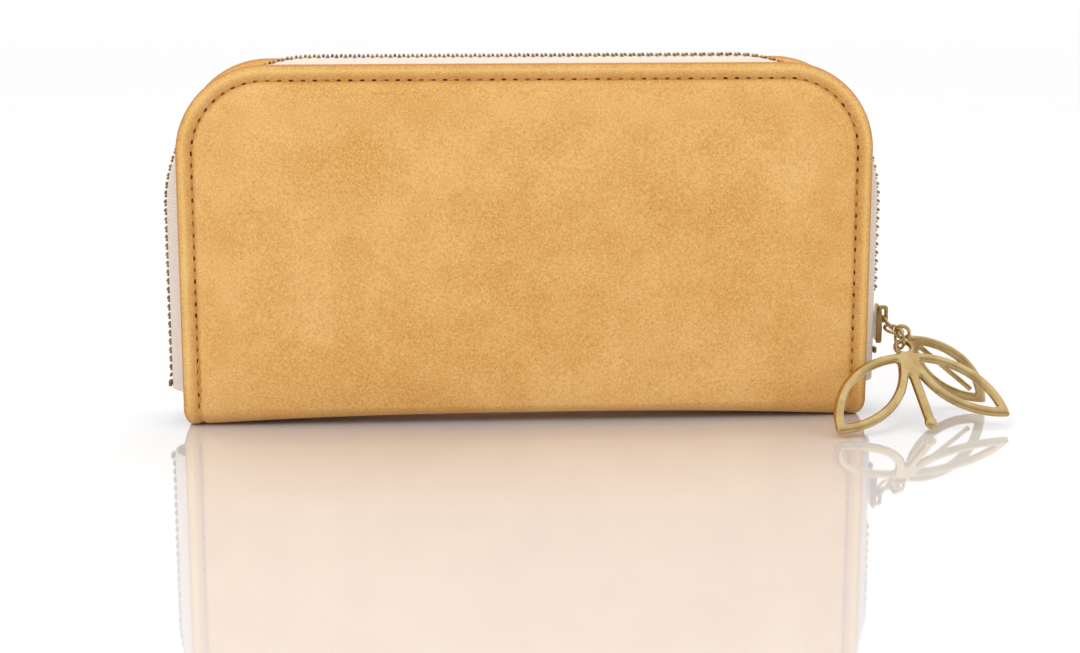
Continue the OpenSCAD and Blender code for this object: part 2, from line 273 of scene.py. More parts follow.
def skin_rings():
    """Rings of a cover's skin, from the end of the turned-in edge, round the rim, over the roll and
    the sewn groove: distance from the outline and depth of the outer face, then of the inner face."""
    mid = (INNER_Y + RIM_Y) / 2
    half = (RIM_Y - INNER_Y) / 2
    outer = [(d, INNER_Y + 0.02) for d in (FLAP_IN, 4.0, 2.2)]
    inner = [(d, INNER_Y + 0.2) for d in (FLAP_IN, 4.0, 2.2)]
    for a in np.radians(np.linspace(-90, 90, 13)):
        outer.append((1.25 * (1 - math.cos(a)), mid + half * math.sin(a)))
        rise = (half - 0.5) * math.sin(a) - 0.35 * max(0, math.sin(a))
        inner.append((1.7 - 0.75 * math.cos(a), mid + 0.04 + rise))
    for d in (1.7, 2.2, 2.7, 3.2, 3.7, 4.1, 4.4, 4.7, 5.1, 5.7, 6.5, 7.5):
        depth = RIM_Y + float(smooth_profile(d))
        outer.append((d, depth))
        inner.append((max(d, 1.8), min(depth - SKIN_T, RIM_Y - SKIN_T - 0.25) if d < 6 else depth - SKIN_T))
    return outer, inner


def ring_points(d, depth, seed):
    p, _ = cover_path(d)
    x, z = p[:, 0], p[:, 1]
    rise = pucker(x, z, np.full(len(x), d), seed) if d > 1.6 else 0
    calm = np.clip((z - SEAM_Z) / 10, 0, 1)
    return np.c_[x, depth + rise * calm, z]


def patch_grid(ring, corner=CORNER):
    """Points [x, z] that fill the U of a ring: rows from the bottom to the top."""
    n = len(ring)
    left, right = ring[: corner + 1], ring[::-1][: corner + 1]
    top = ring[corner : n - corner]
    share = (top[:, 0] - top[0, 0]) / (top[-1, 0] - top[0, 0])
    bottom = ring[0] + (ring[-1] - ring[0]) * share[:, None]
    v = (left[:, 1] - left[0, 1]) / (left[-1, 1] - left[0, 1])
    v = v[:, None, None]
    u = share[None, :, None]
    sides = left[:, None] * (1 - u) + right[:, None] * u
    ends = bottom[None] * (1 - v) + top[None] * v
    corners = (bottom[0] * (1 - u) + bottom[-1] * u) * (1 - v) + (top[0] * (1 - u) + top[-1] * u) * v
    return sides + ends - corners


def cover_sheets(seed):
    """Outer and inner points [x, depth, z] of a cover, their faces, and the distance from the outline."""
    outer_rings, inner_rings = skin_rings()
    outer = [ring_points(d, depth, seed) for d, depth in outer_rings]
    inner = []
    for (d, depth), (_, near), ring in zip(inner_rings, outer_rings, outer):
        p, _ = cover_path(d)
        inner.append(np.c_[p[:, 0], ring[:, 1] + depth - near, p[:, 1]])
    n = len(outer[0])
    faces = grid_faces(len(outer), n)
    last = outer[-1]
    flat = patch_grid(last[:, [0, 2]])
    rows, cols = flat.shape[:2]
    x, z = flat.reshape(-1, 2).T
    d = edge_distance(x, z)
    calm = np.clip((z - SEAM_Z) / 10, 0, 1)
    depth = RIM_Y + smooth_profile(d) + pucker(x, z, d, seed) * calm
    # the patch's edge is the last ring
    middle = np.c_[x, depth, z]
    index = np.arange(rows * cols).reshape(rows, cols)
    middle[index[:, 0]] = last[: CORNER + 1]
    middle[index[:, -1]] = last[::-1][: CORNER + 1]
    middle[index[-1]] = last[CORNER : n - CORNER]
    start = n * len(outer)
    faces += [f[::-1] for f in grid_faces(rows, cols, start)]
    far = np.vstack([*outer, middle])
    near = np.vstack([*inner, middle - [0, SKIN_T, 0]])
    inset = np.r_[np.repeat([d for d, _ in outer_rings], n), d]
    far, (near, inset), faces = merge(far, [near, inset], faces)
    return far, near, faces, inset


def bottom_line():
    """Outer and inner points [x, depth] of a cover's lower edge from left to right."""
    outer_rings, inner_rings = skin_rings()
    half = BODY_W / 2
    left_out = [(-(half - d), y, d) for d, y in outer_rings]
    left_in = [(-(half - d), y) for d, y in inner_rings]
    last = half - outer_rings[-1][0]
    ring = cover_path(outer_rings[-1][0])[0]
    top = ring[CORNER : len(ring) - CORNER, 0]
    share = (top - top[0]) / (top[-1] - top[0])
    x = -last + 2 * last * share[1:-1]
    d = half - np.abs(x)
    depth = RIM_Y + smooth_profile(d)
    mid = np.c_[x, depth, d]
    out = np.vstack([left_out, mid, [(-a, b, c) for a, b, c in left_out[::-1]]])
    inn = np.vstack([left_in, np.c_[x, depth - SKIN_T], [(-a, b) for a, b in left_in[::-1]]])
    return out, inn


def foot_height(x):
    return FOOT_LIFT + ARCH * np.clip(1 - (np.abs(x) / ARCH_HALF) ** 2.5, 0, 1)


def bend_row(line, phi):
    """A row of the leather where it turns under the case: phi is 0 at the seam and 90 on the floor."""
    c, s = math.cos(math.radians(phi)), math.sin(math.radians(phi))
    x, rise = line[:, 0], line[:, 1] - RIM_Y
    low = np.minimum(rise, 0) + np.maximum(rise, 0) * (1 - 0.85 * s)
    depth = RIM_Y - BEND_R + (BEND_R + low) * c
    z = SEAM_Z - (SEAM_Z - foot_height(x) + low) * s
    return np.c_[x * (1 - 0.011 * s * s), depth, z]


def floor_row(line, depth):
    row = bend_row(line, 90)
    row[:, 1] = depth
    return row


def to_side(points, side):
    """From [x, depth, z] to the row frame: the front is side -1."""
    return points * [1, side, 1]


def skin_mesh(name, far, near, faces, inset):
    verts, faces = close_sheet(far, near, faces)
    obj = make_piece(name, verts, faces, tan, 50)
    shade = obj.data.attributes.new("inset", "FLOAT", "POINT")
    shade.data.foreach_set("value", np.r_[inset, inset].astype(np.float32))
    return obj


FLOOR_SPLIT = 6.0


def cover_leather(name, side, seed, with_bend):
    far, near, faces, inset = cover_sheets(seed)
    if with_bend:
        out, inn = bottom_line()
        stations = list(np.linspace(0, 90, 15))
        rows_out = [bend_row(out[:, :2], a) for a in stations] + [floor_row(out[:, :2], FLOOR_SPLIT)]
        rows_in = [bend_row(inn, a) for a in stations] + [floor_row(inn, FLOOR_SPLIT)]
        start, cols = len(far), len(out)
        faces = faces + [f[::-1] for f in grid_faces(len(rows_out), cols, start)]
        far = np.vstack([far, *rows_out])
        near = np.vstack([near, *rows_in])
        inset = np.r_[inset, np.tile(out[:, 2], len(rows_out))]
        far, (near, inset), faces = merge(far, [near, inset], faces)
    return skin_mesh(name, to_side(far, side), to_side(near, side), faces, inset)


def spine_leather():
    """The leather from under the front half, round the back fold to the back cover."""
    out, inn = bottom_line()
    sheets = []
    for line in (out[:, :2], inn):
        rows = [to_side(floor_row(line, y), -1) for y in np.linspace(FLOOR_SPLIT, -7.0, 14)]
        rows += [to_side(bend_row(line, a), 1) for a in np.linspace(90, 0, 19)]
        sheets.append(np.vstack(rows))
    faces = grid_faces(33, len(out))
    return skin_mesh("spine_leather", *sheets, faces, np.tile(out[:, 2], 33))


# ---- materials ----


class Shader:
    """A node material that is built by short calls."""

    def __init__(self, name, roughness=0.6, metallic=0.0, **sockets):
        self.material = bpy.data.materials.new(name)
        self.material.use_nodes = True
        self.nodes = self.material.node_tree.nodes
        self.links = self.material.node_tree.links
        self.bsdf = next(n for n in self.nodes if n.type == "BSDF_PRINCIPLED")
        self.bsdf.inputs["Roughness"].default_value = roughness
        self.bsdf.inputs["Metallic"].default_value = metallic
        for key, value in sockets.items():
            self.bsdf.inputs[key.replace("_", " ")].default_value = value

    def add(self, kind, settings=None, **inputs):
        node = self.nodes.new("ShaderNode" + kind)
        for key, value in (settings or {}).items():
            setattr(node, key, value)
        for key, value in inputs.items():
            numbered = key[0] == "i" and key[1:].isdigit()
            self.put(node.inputs[int(key[1:]) if numbered else key.replace("_", " ")], value)
        return node

    def put(self, socket, value):
        if isinstance(value, bpy.types.NodeSocket):
            self.links.new(value, socket)
        else:
            socket.default_value = value

    def place(self):
        return self.add("TexCoord").outputs["Object"]

    def noise(self, vector, scale, detail=3.0, rough=0.55):
        node = self.add("TexNoise", Vector=vector, Scale=scale, Detail=detail, Roughness=rough)
        return node.outputs["Fac"]

    def math(self, kind, a, b=0.0):
        return self.add("Math", {"operation": kind}, i0=a, i1=b).outputs[0]

    def ramp(self, value, low, high, to_low=0.0, to_high=1.0, smooth=True):
        kind = "SMOOTHSTEP" if smooth else "LINEAR"
        node = self.add("MapRange", {"interpolation_type": kind}, Value=value, From_Min=low, From_Max=high,
                        To_Min=to_low, To_Max=to_high)
        return node.outputs["Result"]

    def mix(self, share, a, b):
        node = self.add("Mix", {"data_type": "RGBA", "blend_type": "MIX", "clamp_result": False})
        for index, value in ((0, share), (6, a), (7, b)):
            self.put(node.inputs[index], value)
        return node.outputs[2]

    def colour(self, value):
        self.put(self.bsdf.inputs["Base Color"], value)

    def rough(self, value):
        self.put(self.bsdf.inputs["Roughness"], value)

    def bump(self, height, strength, distance, after=None):
        node = self.add("Bump", Height=height, Strength=strength, Distance=distance)
        if after is not None:
            self.links.new(after, node.inputs["Normal"])
        self.links.new(node.outputs["Normal"], self.bsdf.inputs["Normal"])
        return node.outputs["Normal"]


def rgb(*screen):
    """A colour from its 0-255 screen values."""
    v = np.array(screen) / 255
    return (*np.where(v <= 0.04045, v / 12.92, ((v + 0.055) / 1.055) ** 2.4).tolist(), 1.0)


# Nubuck with grain and patches of tone; unless its last argument is False, it also gets painted shade and a
# painted highlight along the rim, and painted shade on its lower part
def leather_material(name, light, dark, deep, paint_light_and_shade=True):
    m = Shader(name, roughness=0.66, Sheen_Weight=0.18, Sheen_Roughness=0.45, Specular_IOR_Level=0.32)
    where = m.place()
    clouds = m.noise(where, 26, 4, 0.6)
    patches = m.noise(where, 75, 4, 0.6)
    grain = m.noise(where, 1900, 3, 0.7)
    pores = m.add("TexVoronoi", Vector=where, Scale=2200.0).outputs["Distance"]
    tone = m.math("ADD", m.ramp(clouds, 0.36, 0.66, 0, 0.55), m.ramp(patches, 0.38, 0.64, 0, 0.45))
    colour = m.mix(tone, dark, light)
    # Light tan for the grain's light specks, also used for the painted highlight on the roll's crest
    grain_speck_and_highlight = tuple(min(1, c * 1.4) for c in light[:3]) + (1,)
    colour = m.mix(m.ramp(grain, 0.5, 0.68, 0, 0.5), colour, grain_speck_and_highlight)
    colour = m.mix(m.ramp(grain, 0.5, 0.32, 0, 0.34), colour, deep)
    if paint_light_and_shade:
        inset = m.add("Attribute", {"attribute_name": "inset"}).outputs["Fac"]
        # Bands by distance from the outline: painted shade in the sewn groove, a painted highlight on the
        # roll's crest, painted shade on the slope between crest and groove, and darker along the outermost
        # edge
        bands = ((GROOVE_D, 1.5, 0.2, 0.3, deep), (CREST_D, 0.8, 0.1, 0.34, grain_speck_and_highlight),
                 (VALLEY_D, 0.9, 0.1, 0.2, deep), (0.0, 0.9, 0.1, 0.7, deep))
        for place, far, near, share, tint in bands:
            off = m.math("ABSOLUTE", m.math("SUBTRACT", inset, place))
            colour = m.mix(m.ramp(off, far, near, 0, share), colour, tint)
        # Painted shade on the lower 22 mm of the leather, where it curves under towards the floor, with a
        # ragged upper line
        height = m.add("SeparateXYZ", Vector=where).outputs["Z"]
        painted_low_shade_height = m.math("ADD", height, m.math("MULTIPLY", clouds, 0.012))
        colour = m.mix(m.ramp(painted_low_shade_height, 0.022, 0.006, 0, 0.2), colour, deep)
    m.colour(colour)
    m.rough(m.ramp(grain, 0.3, 0.7, 0.74, 0.58))
    first = m.bump(grain, 0.32, 0.0003)
    m.bump(pores, 0.2, 0.00015, first)
    return m.material


def weave_material(name, light, dark, pitch, across):
    """Woven tape or cloth: ribs along both directions of the piece's own run coordinates."""
    m = Shader(name, roughness=0.82, Sheen_Weight=0.25, Specular_IOR_Level=0.25)
    run = m.add("TexCoord").outputs["UV"]
    axes = m.add("SeparateXYZ", Vector=run)
    turn = 2 * math.pi / pitch
    side = 2 * math.pi / across
    warp = m.math("SINE", m.math("MULTIPLY", axes.outputs["X"], turn))
    weft = m.math("SINE", m.math("MULTIPLY", axes.outputs["Y"], side))
    knot = m.math("MULTIPLY", warp, weft)
    fuzz = m.noise(m.place(), 700, 3, 0.6)
    level = m.math("ADD", m.ramp(knot, -1, 1, 0, 0.7, False), m.math("MULTIPLY", fuzz, 0.5))
    m.colour(m.mix(m.ramp(level, 0.1, 1.0), dark, light))
    m.bump(level, 0.55, pitch * 0.35)
    return m.material


THREADS = 1500  # of the lining cloth, per metre


def cloth_material(name, light, dark):
    """Plain lining cloth whose weave comes from the piece's place."""
    m = Shader(name, roughness=0.78, Sheen_Weight=0.2, Specular_IOR_Level=0.3)
    where = m.place()
    axes = m.add("SeparateXYZ", Vector=where)
    wave = [m.math("SINE", m.math("MULTIPLY", axes.outputs[i], THREADS * 2 * math.pi)) for i in "XZ"]
    knot = m.math("MULTIPLY", wave[0], wave[1])
    clouds = m.noise(where, 60, 3, 0.5)
    m.colour(m.mix(m.ramp(m.math("ADD", m.math("MULTIPLY", knot, 0.18), clouds), 0.2, 0.8), dark, light))
    m.bump(knot, 0.3, 0.00012)
    return m.material


def metal_material(name, colour, tint, roughness, wear):
    m = Shader(name, roughness=roughness, metallic=1.0)
    where = m.place()
    clouds = m.noise(where, 160, 3, 0.5)
    fine = m.noise(where, 1400, 2, 0.5)
    m.colour(m.mix(m.ramp(clouds, 0.35, 0.65, 0, 0.6), colour, tint))
    m.rough(m.ramp(clouds, 0.3, 0.7, roughness * 0.8, roughness + wear))
    m.bump(fine, 0.05, 0.00005)
    return m.material


def hole_material():
    """Needle holes, some in deep shade and some half closed by the leather."""
    m = Shader("needle_hole", roughness=0.9)
    m.colour(m.mix(m.ramp(m.noise(m.place(), 170, 2, 0.5), 0.42, 0.6), rgb(84, 42, 10), rgb(166, 104, 36)))
    return m.material


def foam_material(name, light, dark):
    m = Shader(name, roughness=0.9)
    where = m.place()
    cells = m.add("TexVoronoi", Vector=where, Scale=1600.0).outputs["Distance"]
    m.colour(m.mix(m.ramp(cells, 0.0, 0.7), dark, light))
    m.bump(cells, 0.6, 0.0003)
    return m.material


# Light, dark and darkest tan; the darkest gives the grain's dark specks and also the painted shade along the
# rim and on the lower part
TANS = (rgb(251, 196, 121), rgb(236, 174, 95), rgb(170, 102, 34))
tan = leather_material("nubuck", *TANS)
# the card slots' leather, without the painted light and shade
tan_flat = leather_material("slot_nubuck", *TANS, False)
tape_cloth = weave_material("zip_weave", rgb(246, 232, 218), rgb(222, 200, 182), 0.0009, 0.0007)
lining_cloth = cloth_material("lining_weave", rgb(240, 226, 200), rgb(224, 206, 176))
gold = metal_material("pale_gold", rgb(210, 184, 130), rgb(180, 146, 90), 0.05, 0.02)
zip_gold = metal_material("zip_gold", rgb(196, 160, 96), rgb(120, 92, 52), 0.27, 0.12)
thread = weave_material("thread", rgb(232, 176, 88), rgb(176, 112, 38), 0.0004, 0.0004)
hole = hole_material()
foam = foam_material("foam_cells", rgb(240, 236, 226), rgb(206, 200, 186))
board = foam_material("board_fibre", rgb(196, 188, 174), rgb(168, 158, 142))


# ---- covers, boards and foam ----

WRAP_SIDES = {-1: ("front", "case"), 1: ("back", "back_half")}


def pad(side):
    """Crowned foam pad between the board and the leather."""
    p, _ = cover_path(8.0, SEAM_Z + 1)
    flat = patch_grid(p)
    rows, cols = flat.shape[:2]
    x, z = flat.reshape(-1, 2).T
    d = edge_distance(x, z)
    near = np.full(len(x), RIM_Y - 1.15)
    crown = RIM_Y + smooth_profile(d) - SKIN_T - 0.2
    far = near + (crown - near) * np.clip((d - 8) / 3, 0.02, 1) ** 0.5
    faces = grid_faces(rows, cols)
    verts, faces = close_sheet(np.c_[x, far, z], np.c_[x, near, z], faces)
    name, body = WRAP_SIDES[side]
    obj = make_piece(name + "_pad", to_side(verts, side), faces, foam, 60)
    finish_piece(obj, body, [name + "_foam"])


front_leather = cover_leather("front_leather", -1, 3.1, True)
finish_piece(front_leather, "case", ["front_cover"])
back_leather = cover_leather("back_leather", 1, 8.7, False)
finish_piece(back_leather, "back_half", ["back_cover"])
fold_leather = spine_leather()
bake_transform(fold_leather)
finish_piece(fold_leather, None, ["spine"])
for wrap_side in WRAP_SIDES:
    pad(wrap_side)

# ---- stitching ----


def capsule(length, radius, sides=8):
    """A short thread lying along Z, fuller in its middle."""
    rows = []
    for share in (-1, -0.86, -0.5, 0, 0.5, 0.86, 1):
        r = radius * math.sqrt(max(0.05, 1 - abs(share) ** 3))
        rows += [(r * math.cos(a), 0.8 * r * math.sin(a), share * length / 2)
                 for a in np.linspace(0, 2 * math.pi, sides, endpoint=False)]
    return np.array(rows), tube_faces(7, sides)


def seam_places(side, s_list, inset=GROOVE_D, shift=0.0, slant=0.0):
    """Places along a cover's sewn groove, each with its own directions."""
    points, outs = along(*cover_path(inset), np.asarray(s_list, float))
    places = []
    for (x, z), (nx, nz) in zip(points, outs):
        run = np.array([nz, 0, -nx])
        away = np.array([nx, 0, nz])
        face = np.array([0, side, 0])
        turned = run * math.cos(slant) + away * math.sin(slant)
        across = np.cross(face, turned)
        depth = RIM_Y + float(smooth_profile(inset))
        places.append((np.array([x, side * (depth + shift), z]), turned, across, face))
    return places


SEAM_LENGTH = arc_lengths(cover_path(GROOVE_D)[0])[-1]
BACK_STITCHES = 5  # at each end of a seam


def stitching(side):
    name, body = WRAP_SIDES[side]
    count = int((SEAM_LENGTH - 2) / STITCH_PITCH)
    starts = 1.0 + np.arange(count) * STITCH_PITCH
    threads = seam_places(side, starts + STITCH_PITCH / 2, shift=0.08, slant=0.07)
    holes = seam_places(side, starts, shift=0.04)
    ends = [s for k in range(BACK_STITCHES) for s in (3 + 2.6 * k, SEAM_LENGTH - 3 - 2.6 * k)]
    threads += seam_places(side, ends, inset=GROOVE_D + 0.35, shift=0.16, slant=-0.12)
    row = make_piece(name + "_stitches", *scatter(capsule(2.1, 0.32), threads), thread)
    finish_piece(row, body)
    pits = make_piece(name + "_needle_holes", *scatter(capsule(1.35, 0.33), holes), hole)
    finish_piece(pits, body)


for wrap_side in WRAP_SIDES:
    stitching(wrap_side)


# ---- main zip ----

TAPE_STATIONS = [70, 60, 120, 60, 70]  # points along each straight and arc
TAPE_WIDTH = 12.5
TEETH_START = 3.5  # from the foot of the ridge to the first tooth


def tape_edges():
    """Matching points [x, z] of the sewn edge and the ridge, at the same shares of the straights
    and arcs."""
    t = [np.linspace(0, 1, n, endpoint=i == 4) for i, n in enumerate(TAPE_STATIONS)]
    lines = []
    for half_w, top, r in ((BODY_W / 2 - ROOT_IN, BODY_H - ROOT_IN, CORNER_R - ROOT_IN),
                           (RIDGE_X, RIDGE_Z, RIDGE_R)):
        x, z = half_w - r, top - r
        up = z - TAPE_FOOT_Z
        a, b = math.pi - math.pi / 2 * t[1], math.pi / 2 * (1 - t[3])
        lines.append(np.vstack([
            np.c_[np.full(len(t[0]), -half_w), TAPE_FOOT_Z + t[0] * up],
            np.c_[-x + r * np.cos(a), z + r * np.sin(a)],
            np.c_[(2 * t[2] - 1) * x, np.full(len(t[2]), top)],
            np.c_[x + r * np.cos(b), z + r * np.sin(b)],
            np.c_[np.full(len(t[4]), half_w), z - t[4] * up],
        ]))
    return lines


def zip_tape(side):
    name, body = WRAP_SIDES[side]
    root, ridge = tape_edges()
    run = arc_lengths(ridge)
    shares = np.linspace(0, 1, 15)
    mid, uv = [], []
    for u in shares:
        w = u * math.pi / 2
        at = root + (ridge - root) * math.sin(w)
        share = (1 - TAPE_EVEN) * math.cos(w) + TAPE_EVEN * (1 - u)
        depth = TAPE_Y1 + (TAPE_Y0 - TAPE_Y1) * share
        belly = math.sin(math.pi * u)
        ripple = [0.16 * belly * noise.noise((s / 14, side * 3.0, u * 2)) for s in run]
        mid.append(np.c_[at[:, 0], depth + np.array(ripple), at[:, 1]])
        uv.append(np.c_[run, np.full(len(run), u * TAPE_WIDTH)])
    mid, uv = np.array(mid), np.array(uv)
    n = np.cross(np.gradient(mid, axis=1), np.gradient(mid, axis=0))
    n /= np.linalg.norm(n, axis=2)[..., None]
    far = (mid + n * TAPE_T / 2).reshape(-1, 3)
    near = (mid - n * TAPE_T / 2).reshape(-1, 3)
    verts, faces = close_sheet(far, near, grid_faces(*mid.shape[:2]))
    both = np.vstack([uv.reshape(-1, 2)] * 2)
    obj = make_piece(name + "_tape", to_side(verts, side), faces, tape_cloth, 60, uv=both)
    finish_piece(obj, body, [name + "_zip_tape"])
    across = np.linalg.norm(np.diff(mid, axis=0), axis=2).sum(axis=0)


for wrap_side in WRAP_SIDES:
    zip_tape(wrap_side)


def ridge_path():
    """The ridge's middle line with its outward normals."""
    _, ridge = tape_edges()
    step = np.gradient(ridge, axis=0)
    step /= np.linalg.norm(step, axis=1)[:, None]
    return ridge, np.c_[-step[:, 1], step[:, 0]]


RIDGE, RIDGE_N = ridge_path()
RIDGE_LEN = arc_lengths(RIDGE)[-1]
slider_low, slider_high = box_mm("zip_slider")


def rounded_box(size, centre, cut):
    """Eight-cornered block whose long edges are chamfered: points and faces."""
    hx, hy, hz = np.array(size) / 2
    c = min(cut, hx * 0.6, hy * 0.6, hz * 0.6)
    ring = [(hx - c, hy), (hx, hy - c), (hx, -hy + c), (hx - c, -hy),
            (-hx + c, -hy), (-hx, -hy + c), (-hx, hy - c), (-hx + c, hy)]
    rows = []
    for z, k in ((-hz, 1), (-hz + c, 0), (hz - c, 0), (hz, 1)):
        rows += [(x - math.copysign(c * k * 0.9, x), y - math.copysign(c * k * 0.9, y), z) for x, y in ring]
    return np.array(rows) + centre, tube_faces(4, 8)


def tooth_parts(side):
    """One tooth in its own frame: X out of the case, Y towards the other row, Z along the ridge."""
    clamp = rounded_box((0.7, 1.9, 0.8), (0.66, side * 1.75, 0), 0.24)
    head = rounded_box((0.6, 1.5, 0.8), (0.68, side * 0.42, 0), 0.22)
    nub = rounded_box((0.3, 0.5, 0.4), (0.98, side * 0.1, 0), 0.1)
    return clamp, head, nub


def teeth_row(side):
    name, body = WRAP_SIDES[side]
    end = RIDGE_LEN - (slider_high[2] + 1 - TAPE_FOOT_Z)
    count = int((end - TEETH_START) / TOOTH_PITCH)
    parts = []
    for i in range(count):
        s = TEETH_START + (i + (0 if side < 0 else 0.5)) * TOOTH_PITCH
        (p,), (n,) = along(RIDGE, RIDGE_N, np.array([s]))
        for part, faces in tooth_parts(side):
            at = np.c_[p[0] + n[0] * part[:, 0] - n[1] * part[:, 2], part[:, 1],
                       p[1] + n[1] * part[:, 0] + n[0] * part[:, 2]]
            parts.append((at, faces))
    obj = make_piece(name + "_teeth", *gather(*parts), zip_gold, 35)
    finish_piece(obj, body, [name + "_zip_teeth"])


for wrap_side in WRAP_SIDES:
    teeth_row(wrap_side)


# ---- small hardware ----


FACING_X, FACING_Y, FACING_Z = [2, 0, 1], [0, 2, 1], [0, 1, 2]  # which way a plate's thickness lies
X_AXIS, Y_AXIS, Z_AXIS = np.eye(3)


def arc_points(cx, cy, r, a0, a1, n=7):
    return [(cx + r * math.cos(a), cy + r * math.sin(a)) for a in np.radians(np.linspace(a0, a1, n))]


def outline_of(*arcs):
    """Outline from arcs, each given by its middle, its radius, and its first and last angle."""
    return [point for arc in arcs for point in arc_points(*arc)]


def round_rect(half_w, low, high, r):
    """Outline of a plate with rounded corners, anticlockwise."""
    x, bottom, top = half_w - r, low + r, high - r
    return outline_of((x, bottom, r, -90, 0), (x, top, r, 0, 90), (-x, top, r, 90, 180),
                      (-x, bottom, r, 180, 270))


def offset_loop(loop, by):
    """A closed outline drawn in along its own normals."""
    p = np.asarray(loop, float)
    step = np.roll(p, -1, 0) - np.roll(p, 1, 0)
    step /= np.maximum(np.linalg.norm(step, axis=1), 1e-9)[:, None]
    return p + by * np.c_[-step[:, 1], step[:, 0]]


def plate(outline, t0, t1, cut, hole=None):
    """Closed plate from an outline, with bevelled edges and a hole if it has one. The points are
    [a, b, t], where a and b are the outline's."""
    rows = []
    for loop, sign in ((outline, 1), (hole, -1)):
        if loop is None:
            continue
        for t, k in ((t0, 1), (t0 + cut * 0.3, 0.3), (t0 + cut, 0),
                     (t1 - cut, 0), (t1 - cut * 0.3, 0.3), (t1, 1)):
            ring = offset_loop(loop, sign * cut * k)
            rows.append(np.c_[ring, np.full(len(ring), t)])
    n = len(outline)
    if hole is None:
        return np.vstack(rows), tube_faces(6, n)
    faces = grid_faces(6, n, close_cols=True) + grid_faces(6, n, 6 * n, close_cols=True)
    for i in range(n):
        j = (i + 1) % n
        faces += [(i, j, 6 * n + j, 6 * n + i), (5 * n + i, 5 * n + j, 11 * n + j, 11 * n + i)]
    return np.vstack(rows), faces


def turned(part, order, shift=(0, 0, 0)):
    """A plate's [a, b, t] points put on other axes: order gives the axis for x, y and z."""
    return part[0][:, order] + np.array(shift), part[1]


def main_slider():
    low, high = slider_low, slider_high
    mid_z = (low[2] + high[2]) / 2
    length = high[2] - low[2]
    crown = high[0]
    top_x = RIDGE_X + 1.5  # inner face of the outer plate
    wide, slim = high[1], high[1] - 1.1
    foot = low[2]
    waist = foot + length * 0.42
    shield = outline_of((slim - 1.2, high[2] - 1.2, 1.2, 0, 90), (-slim + 1.2, high[2] - 1.2, 1.2, 90, 180),
                        (-wide + 1.6, waist, 1.6, 160, 200), (-wide + 1.8, foot + 1.8, 1.8, 190, 250),
                        (0, foot + 0.9, 0.9, 235, 305), (wide - 1.8, foot + 1.8, 1.8, 290, 350),
                        (wide - 1.6, waist, 1.6, -20, 20))
    over = turned(plate(shield, top_x, top_x + 0.9, 0.28), FACING_X)
    under = turned(plate(shield, top_x - 3.9, top_x - 3.0, 0.28), FACING_X)
    lip_plate = plate(round_rect(length / 2 - 0.8, 0, 1.5, 0.3), -wide + 0.02, -wide + 0.8, 0.2)
    lip = turned(lip_plate, [1, 2, 0], (top_x - 0.75, 0, mid_z - 0.4))
    bridge = round_rect(1.45, 0, 5.0, 0.9)
    window = [(a - 0.3, b) for a, b in round_rect(0.75, 1.3, 4.0, 0.5)]
    arch = turned(plate(bridge, -0.8, 0.8, 0.28, window), FACING_Y, (crown - 1.45, 0, mid_z + 0.2))
    obj = make_piece("main_slider", *gather(over, under, lip, arch), zip_gold, 50)
    finish_piece(obj, "slider", ["zip_slider"])


def zip_stop(node):
    """Bent metal staple that grips the tape's edge."""
    low, high = box_mm(node)
    mid = (low + high) / 2
    size = high - low
    shape = round_rect(size[1] / 2, -size[2] / 2, size[2] / 2, 0.4)
    body = turned(plate(shape, -size[0] / 2, size[0] / 2, 0.3), FACING_X, mid)
    rib = plate(round_rect(size[1] / 2 - 0.3, -0.12, 0.12, 0.1), 0, 0.12, 0.03)
    face_x = math.copysign(size[0] / 2, mid[0]) + mid[0]
    ribs = [turned(rib, FACING_X, (face_x, mid[1], mid[2] + dz)) for dz in (-0.4, 0.4)]
    obj = make_piece(node + "_staple", *gather(body, *ribs), zip_gold, 45)
    finish_piece(obj, "case", [node])


main_slider()
for stop_node in ("zip_bottom_stop", "zip_top_stop"):
    zip_stop(stop_node)


# ---- rings and charms ----


RING_TURNS, RING_SIDES = 97, 20  # sections round a ring, and points round its wire


def plate_frame(points):
    """Middle of a flat piece and its axes, the thinnest last."""
    middle = points.mean(0)
    _, _, axes = np.linalg.svd(points - middle, full_matrices=False)
    if np.linalg.det(axes) < 0:
        axes[2] *= -1
    return middle, axes


def node_points(node):
    return np.array([v.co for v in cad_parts[node].data.vertices]) / MM


def jump_ring(node, gap_turn):
    """Round wire ring whose ends meet at a fine split."""
    points = node_points(node)
    middle, axes = plate_frame(np.unique(np.round(points, 3), axis=0))
    flat = (points - middle) @ axes.T
    reach = np.hypot(flat[:, 0], flat[:, 1])
    wire = (reach.max() - reach.min()) / 2
    radius = (reach.max() + reach.min()) / 2
    turns = np.radians(gap_turn + np.linspace(1.2, 358.8, RING_TURNS))
    rows = []
    for i, t in enumerate(turns):
        k = 0.82 if i in (0, RING_TURNS - 1) else 1.0
        for a in np.linspace(0, 2 * math.pi, RING_SIDES, endpoint=False):
            r = radius + wire * k * math.cos(a)
            rows.append((r * math.cos(t), r * math.sin(t), wire * k * math.sin(a)))
    verts = np.array(rows) @ axes + middle
    obj = make_piece(node + "_wire", verts, tube_faces(RING_TURNS, RING_SIDES), gold, 60)
    finish_piece(obj, node, [node])


CAST_VOXEL = 0.17
CAST_SMOOTHING = (30, 12)  # rounds of each smoothing pass
DOME_REACH = 1.25  # how far from the edge the thickness still grows
THIN_EDGE = 0.42  # thickness at the very edge, as a share of the middle's


